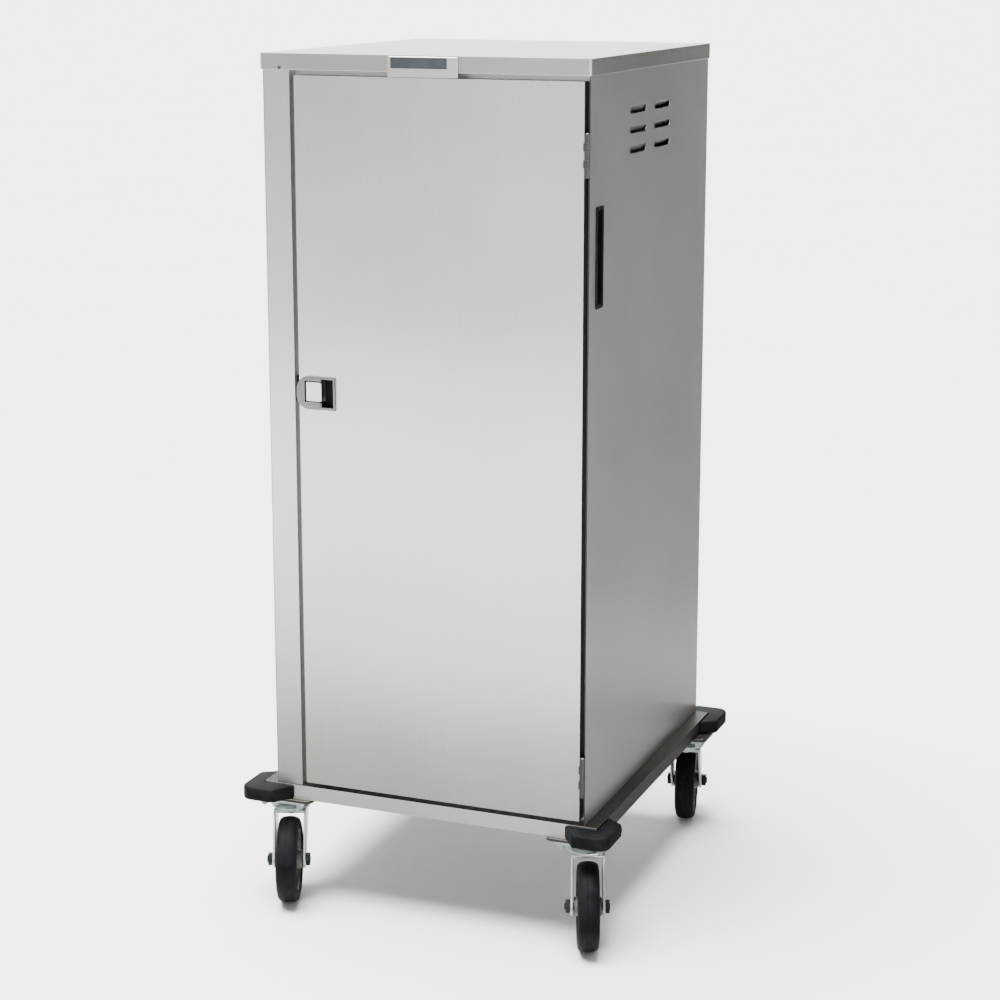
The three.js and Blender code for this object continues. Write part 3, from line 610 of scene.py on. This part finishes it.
def stamped(name, loops, half_thickness, roll, roll_steps, y):
    """An upright plate with rolled edges at the given y; its outline and holes are loops of (x, z)."""
    outline = bpy.data.curves.new(name, "CURVE")
    outline.dimensions = "2D"
    outline.fill_mode = "BOTH"
    outline.extrude = half_thickness
    outline.bevel_depth = roll
    outline.bevel_resolution = roll_steps
    for loop in loops:
        spline = outline.splines.new("POLY")
        spline.points.add(len(loop) - 1)
        for point, (x, z) in zip(spline.points, loop):
            point.co = (x, z, 0, 1)
        spline.use_cyclic_u = True
    plate = bpy.data.objects.new(name, outline)
    bpy.context.scene.collection.objects.link(plate)
    bpy.ops.object.select_all(action="DESELECT")
    bpy.context.view_layer.objects.active = plate
    plate.select_set(True)
    bpy.ops.object.convert(target="MESH")
    plate = bpy.context.object
    plate.data.transform(Matrix.Translation((0, y, 0)) @ Matrix.Rotation(math.pi / 2, 4, "X"))
    cleaned(38)
    return plate


# A raised D-shaped surround is pressed over the bezel, its round end running out to the door's
# seam. One hole in it shows the lever and, taller beside it, the finger pocket.
ring_x, ring_z, round_end = (-0.2340, -0.1633), (0.9022, 0.9578), 0.022
rim = [(ring_x[1], ring_z[0]), (ring_x[1], ring_z[1])]
for middle_z, first in ((ring_z[1] - round_end, 90), (ring_z[0] + round_end, 180)):
    for i in range(9):
        turn = math.radians(first + i * 90 / 8)
        rim.append((
            ring_x[0] + round_end + round_end * math.cos(turn),
            middle_z + round_end * math.sin(turn),
        ))
lever_left, lever_right, pocket_right = -0.2204, -0.1912, -0.1656
lever_z, pocket_z = (0.9130, 0.9510), (0.9049, 0.9550)
hole = [
    (lever_left, lever_z[0]), (lever_right, lever_z[0]),
    (lever_right, pocket_z[0]), (pocket_right, pocket_z[0]),
    (pocket_right, pocket_z[1]), (lever_right, pocket_z[1]),
    (lever_right, lever_z[1]), (lever_left, lever_z[1]),
]
surround = stamped(
    "latch_surround", (rim, hole), half_thickness=0.0010, roll=0.0007, roll_steps=3, y=-0.3268
)
surround.data.materials.append(bezel_steel)
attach(surround, "door")

zinc_plate = mottled(
    "zinc_plate", 60, (0.33, 0.375, 0.365), (0.50, 0.55, 0.54), roughness=(0.24, 0.46),
    detail=5, ends=(0.3, 0.75), metallic=1,
)
for node, name, finish, slot_name in (
    ("latch_paddle_pin", "lever_pin", zinc_plate, "zinc"),
    ("latch_bolt", "door_bolt", zinc_plate, "zinc"),
    ("latch_keeper", "bolt_keeper", hinge_steel, "frame_steel"),
):
    part = softened(node, name, radius=0.0003)
    part.data.materials.append(finish)


# ---- Hand grips ---------------------------------------------------------------------------------
# Black moulded cups let through the side panels near the front, with a flat rim outside and a
# smooth well for the fingers. The moulding has a fine spark-eroded texture.
grip_plastic = mottled(
    "grip_plastic", 26, (0.0018, 0.0016, 0.0015), (0.0050, 0.0045, 0.0042), roughness=(0.34, 0.56),
    specular=0.12, relief=(1400, 0.3, 0.0002),
)
for side in ("right", "left"):
    grip = softened(f"{side}_hand_grip", f"{side}_grip", radius=0.0006, steps=3)
    grip.data.materials.append(grip_plastic)


# ---- Rim rivet ----------------------------------------------------------------------------------
# One domed rivet holds the top's rim down to the front stile, over the latch side of the door. It
# is turned about z, tipped forwards and set on the rim's front face.
rivet_place = (-0.256, -0.3280, 1.4765)
rivet = turned(
    "rim_rivet",
    [(0, -0.0004), (0.0032, -0.0004), (0.0032, 0.0002), (0.0028, 0.0008), (0.0018, 0.0013), (0, 0.0015)],
    steps=32,
)
rivet.data.transform(Matrix.Translation(rivet_place) @ Matrix.Rotation(math.pi / 2, 4, "X"))
rivet.data.materials.append(hinge_steel)
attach(rivet, "cabinet")


# ---- Name holder --------------------------------------------------------------------------------
# A small stainless frame on the middle of the rim, with a dark blue-grey strip in it where a ward's
# name would go. The strip is blank.
holder = softened("name_holder", "label_frame", radius=0.0005)
holder.data.materials.append(top_steel)
strip_film = mottled(
    "strip_film", 30, (0.022, 0.026, 0.030), (0.040, 0.046, 0.052), roughness=0.5, specular=0.25
)
strip = softened("name_strip", "label_strip", radius=0.0001, steps=1)
strip.data.materials.append(strip_film)


# ---- Casters ------------------------------------------------------------------------------------
# Zinc-plated plate casters with 6-inch rubber wheels: a bolted plate with a raceway, a pressed
# fork, a ribbed nylon hub and a crowned black tyre on a hexagon bolt. One of each is modelled at
# the swivel axis, with the wheel behind it along +x, and then copied to the four corners.
axle_x, axle_z = 0.043, 0.0762
onto_axle = Matrix.Translation((axle_x, 0, axle_z)) @ Matrix.Rotation(math.pi / 2, 4, "X")


def joined(name, pieces):
    """Joins the given pieces into the first one, under one name."""
    bpy.ops.object.select_all(action="DESELECT")
    for piece in pieces:
        piece.select_set(True)
    bpy.context.view_layer.objects.active = pieces[0]
    bpy.ops.object.join()
    whole = bpy.context.object
    whole.name = name
    return whole


def rolled(piece, width, segments):
    """Rounds a piece's sharp edges and smooths it."""
    bpy.ops.object.select_all(action="DESELECT")
    bpy.context.view_layer.objects.active = piece
    piece.select_set(True)
    edge = piece.modifiers.new("rolled", "BEVEL")
    edge.width, edge.segments = width, segments
    edge.limit_method, edge.angle_limit = "ANGLE", math.radians(30)
    bpy.ops.object.modifier_apply(modifier="rolled")
    bpy.ops.object.shade_smooth_by_angle(angle=math.radians(38))
    return piece


def rod(name, radius, ends, sides, roll, roll_steps=2):
    """A round or six-sided rod between two heights, with rolled edges."""
    low, high = ends
    piece = turned(name, [(0, low), (radius, low), (radius, high), (0, high)], sides)
    return rolled(piece, roll, roll_steps)


def flat_plate(size, z, corner, corner_steps, roll):
    """A level plate with rounded corners and rolled edges, its middle at the given height."""
    bpy.ops.object.select_all(action="DESELECT")
    bpy.ops.mesh.primitive_cube_add(size=1, location=(0, 0, z), scale=size)
    plate = bpy.context.object
    bpy.ops.object.transform_apply(location=True, rotation=True, scale=True)
    pick(plate, lambda m: at(m.z, z), "edge")
    bpy.ops.mesh.bevel(offset=corner, segments=corner_steps, affect="EDGES")
    bpy.ops.object.mode_set(mode="OBJECT")
    return rolled(plate, roll, segments=2)


# The mounting plate with its upper raceway, kingpin nut and four bolts with nuts and washers.
plate_low, plate_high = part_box("caster_plate_front_right")
plate_x, plate_y = plate_high.x - plate_low.x, plate_high.y - plate_low.y
bolt_x, bolt_y = plate_x / 2 - 0.013, plate_y / 2 - 0.012
plate = flat_plate((plate_x, plate_y, 0.0047), z=0.18435, corner=0.009, corner_steps=5, roll=0.0006)
upper_raceway = turned(
    "upper_raceway",
    [
        (0, 0.1732), (0.024, 0.1732), (0.0295, 0.1744), (0.0325, 0.1770),
        (0.0335, 0.1802), (0.0345, 0.1822), (0, 0.1822),
    ],
    steps=64,
)
kingpin_nut = rod("kingpin_nut", 0.0098, (0.1490, 0.1574), sides=6, roll=0.0005)
kingpin = rod("kingpin", 0.0058, (0.1474, 0.1740), sides=32, roll=0.0004)
fixings = []
for x in (-bolt_x, bolt_x):
    for y in (-bolt_y, bolt_y):
        for fixing in (
            rod("washer", 0.0088, (0.1804, 0.1822), sides=32, roll=0.0003, roll_steps=1),
            rod("plate_nut", 0.0074, (0.1738, 0.1806), sides=6, roll=0.0004),
            rod("stud", 0.0040, (0.1712, 0.1740), sides=24, roll=0.0003),
        ):
            fixing.data.transform(Matrix.Translation((x, y, 0)))
            fixings.append(fixing)
caster_plate = joined("caster_plate", [plate, upper_raceway, kingpin_nut, kingpin, *fixings])


def bend(start, pull, end):
    """The nine inner points of a curve from start to end that is drawn towards pull."""
    points = []
    for i in range(1, 10):
        t = i / 10
        points.append(tuple(
            (1 - t) ** 2 * a + 2 * t * (1 - t) * b + t * t * c for a, b, c in zip(start, pull, end)
        ))
    return points


# The fork: a lower raceway on a crown, and two legs that taper down to rounded bosses at the axle.
leg_inside, leg_outside = 0.025, 0.029
leg_y, boss_radius = (leg_inside + leg_outside) / 2, 0.0150
crown_half, crown_top = 0.029, 0.1600
rear_root, front_root = (-crown_half, 0.1490), (crown_half, 0.1500)
lower_raceway = turned(
    "lower_raceway",
    [
        (0.0066, 0.1625), (0.0335, 0.1625), (0.0348, 0.1640), (0.0345, 0.1670),
        (0.0318, 0.1700), (0.0275, 0.1720), (0.0250, 0.1728), (0.0066, 0.1728),
    ],
    steps=64,
)
crown = flat_plate((0.062, 2 * leg_outside, 0.0050), z=0.1605, corner=0.007, corner_steps=4, roll=0.0008)
boss = [
    (axle_x + boss_radius * math.cos(math.radians(a)), axle_z + boss_radius * math.sin(math.radians(a)))
    for a in range(205, 386, 15)
]
leg_outline = [
    (-crown_half, crown_top),
    rear_root,
    *bend(rear_root, (-0.008, 0.112), (axle_x - 0.0140, axle_z - 0.0050)),
    *boss,
    *bend(boss[-1], (0.038, 0.128), front_root),
    front_root,
    (crown_half, crown_top),
]
legs = [
    stamped("fork_leg", [leg_outline], half_thickness=0.0012, roll=0.0008, roll_steps=2, y=y)
    for y in (-leg_y, leg_y)
]
# A dimple is pressed outwards round the axle on each leg, and a hexagon bolt and nut clamp them.
dimples = []
for side in (-1, 1):
    dimple = turned("dimple", [(0.0068, 0), (0.0128, 0), (0.0120, 0.0010), (0.0068, 0.0010)], steps=48)
    dimple.data.transform(
        Matrix.Translation((axle_x, side * (leg_outside - 0.0002), axle_z))
        @ Matrix.Rotation(-side * math.pi / 2, 4, "X")
    )
    dimples.append(dimple)
caster_fork = joined("caster_fork", [lower_raceway, crown, *legs, *dimples])

seat = leg_outside + 0.0009
axle_rod = rod("axle_rod", 0.0059, (-0.0378, 0.0402), sides=32, roll=0.0008)
axle_head = rod("axle_head", 0.0118, (-seat - 0.0072, -seat), sides=6, roll=0.0007)
axle_nut = rod("axle_nut", 0.0118, (seat, seat + 0.0082), sides=6, roll=0.0007)
caster_axle = joined("caster_axle", [axle_rod, axle_head, axle_nut])
caster_axle.data.transform(onto_axle)

# The hub: barrel, dished web and a deep rim, with ribs between them on both faces.
hub_half = [
    (0.0064, -0.0238), (0.0146, -0.0238), (0.0158, -0.0226), (0.0188, -0.0070), (0.0212, -0.0052),
    (0.0455, -0.0048), (0.0490, -0.0066), (0.0515, -0.0143), (0.0528, -0.0155), (0.0558, -0.0155),
]
wheel_hub = turned("wheel_hub", hub_half + [(r, -h) for r, h in reversed(hub_half)], steps=72)
rib_count, rib_size, rib_dip = 6, (0.0330, 0.0028, 0.0072), 0.0012
rib_radius, rib_height = 0.0345, 0.0078
ribs = []
for i in range(rib_count):
    for face in (-1, 1):
        bpy.ops.object.select_all(action="DESELECT")
        bpy.ops.mesh.primitive_cube_add(size=1, location=(rib_radius, 0, face * rib_height), scale=rib_size)
        rib = bpy.context.object
        bpy.ops.object.transform_apply(location=True, rotation=True, scale=True)
        pick(rib, lambda m: abs(m.z) > rib_height and m.x > rib_radius, "vert")
        bpy.ops.transform.translate(value=(0, 0, -face * rib_dip))
        bpy.ops.object.mode_set(mode="OBJECT")
        rolled(rib, width=0.0005, segments=2)
        rib.data.transform(Matrix.Rotation(i * 2 * math.pi / rib_count, 4, "Z"))
        ribs.append(rib)
wheel_hub = joined("wheel_hub", [wheel_hub, *ribs])

# The tyre: crowned, with rounded shoulders, a thin parting line and a raised ring on each side wall.
tyre_half = [
    (0.0566, 0.0154), (0.0585, 0.0166), (0.0603, 0.0183), (0.0623, 0.0189), (0.0645, 0.0189),
    (0.0660, 0.0180), (0.0685, 0.0180), (0.0708, 0.0171), (0.0728, 0.0152), (0.0743, 0.0125),
    (0.0754, 0.0090), (0.0760, 0.0050), (0.0762, 0.0006), (0.07605, 0.0003),
]
wheel_tyre = turned("wheel_tyre", [(r, -h) for r, h in tyre_half] + tyre_half[::-1], steps=96)
for wheel_piece in (wheel_hub, wheel_tyre):
    wheel_piece.data.transform(onto_axle)

tread_rubber = mottled(
    "tread_rubber", 55, (0.0012, 0.0016, 0.0023), (0.0055, 0.0068, 0.0085), roughness=(0.55, 0.80),
    detail=7, ends=(0.38, 0.80), specular=0.09,
)
hub_plastic = mottled(
    "hub_plastic", 90, (0.020, 0.021, 0.022), (0.050, 0.050, 0.049), roughness=(0.40, 0.60), detail=4
)
bolt_steel = steel_finish(
    "bolt_steel", (0.010, 0.013, 0.012), (0.024, 0.029, 0.026), roughness=0.5, grain=(120, 120, 120)
)
caster_plate.data.materials.append(zinc_plate)
caster_fork.data.materials.append(zinc_plate)
caster_axle.data.materials.append(bolt_steel)
wheel_hub.data.materials.append(hub_plastic)
wheel_tyre.data.materials.append(tread_rubber)

# Every fork and wheel stands turned about its swivel axis as its solid does.
front_turn, rear_turn = -69, 103
for corner, turn in (
    ("front_left", front_turn),
    ("front_right", front_turn),
    ("rear_left", rear_turn),
    ("rear_right", rear_turn),
):
    plate_low, plate_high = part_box(f"caster_plate_{corner}")
    x, y = (plate_low.x + plate_high.x) / 2, (plate_low.y + plate_high.y) / 2
    placed = Matrix.Translation((x, y, 0))
    swivelled = placed @ Matrix.Rotation(math.radians(turn), 4, "Z")
    for model, body, slot_name in (
        (caster_plate, "cabinet", "zinc"),
        (caster_fork, f"caster_{corner}", "zinc"),
        (caster_axle, f"caster_{corner}", "zinc"),
        (wheel_hub, f"wheel_{corner}", "wheel_hub"),
        (wheel_tyre, f"wheel_{corner}", "tread"),
    ):
        kind = model.name
        piece = bpy.data.objects.new(f"{corner}_{kind}", model.data.copy())
        bpy.context.scene.collection.objects.link(piece)
        piece.data.transform(placed if kind == "caster_plate" else swivelled)
        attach(piece, body)
        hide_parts(f"{kind}_{corner}")
for model in (caster_plate, caster_fork, caster_axle, wheel_hub, wheel_tyre):
    bpy.data.objects.remove(model)
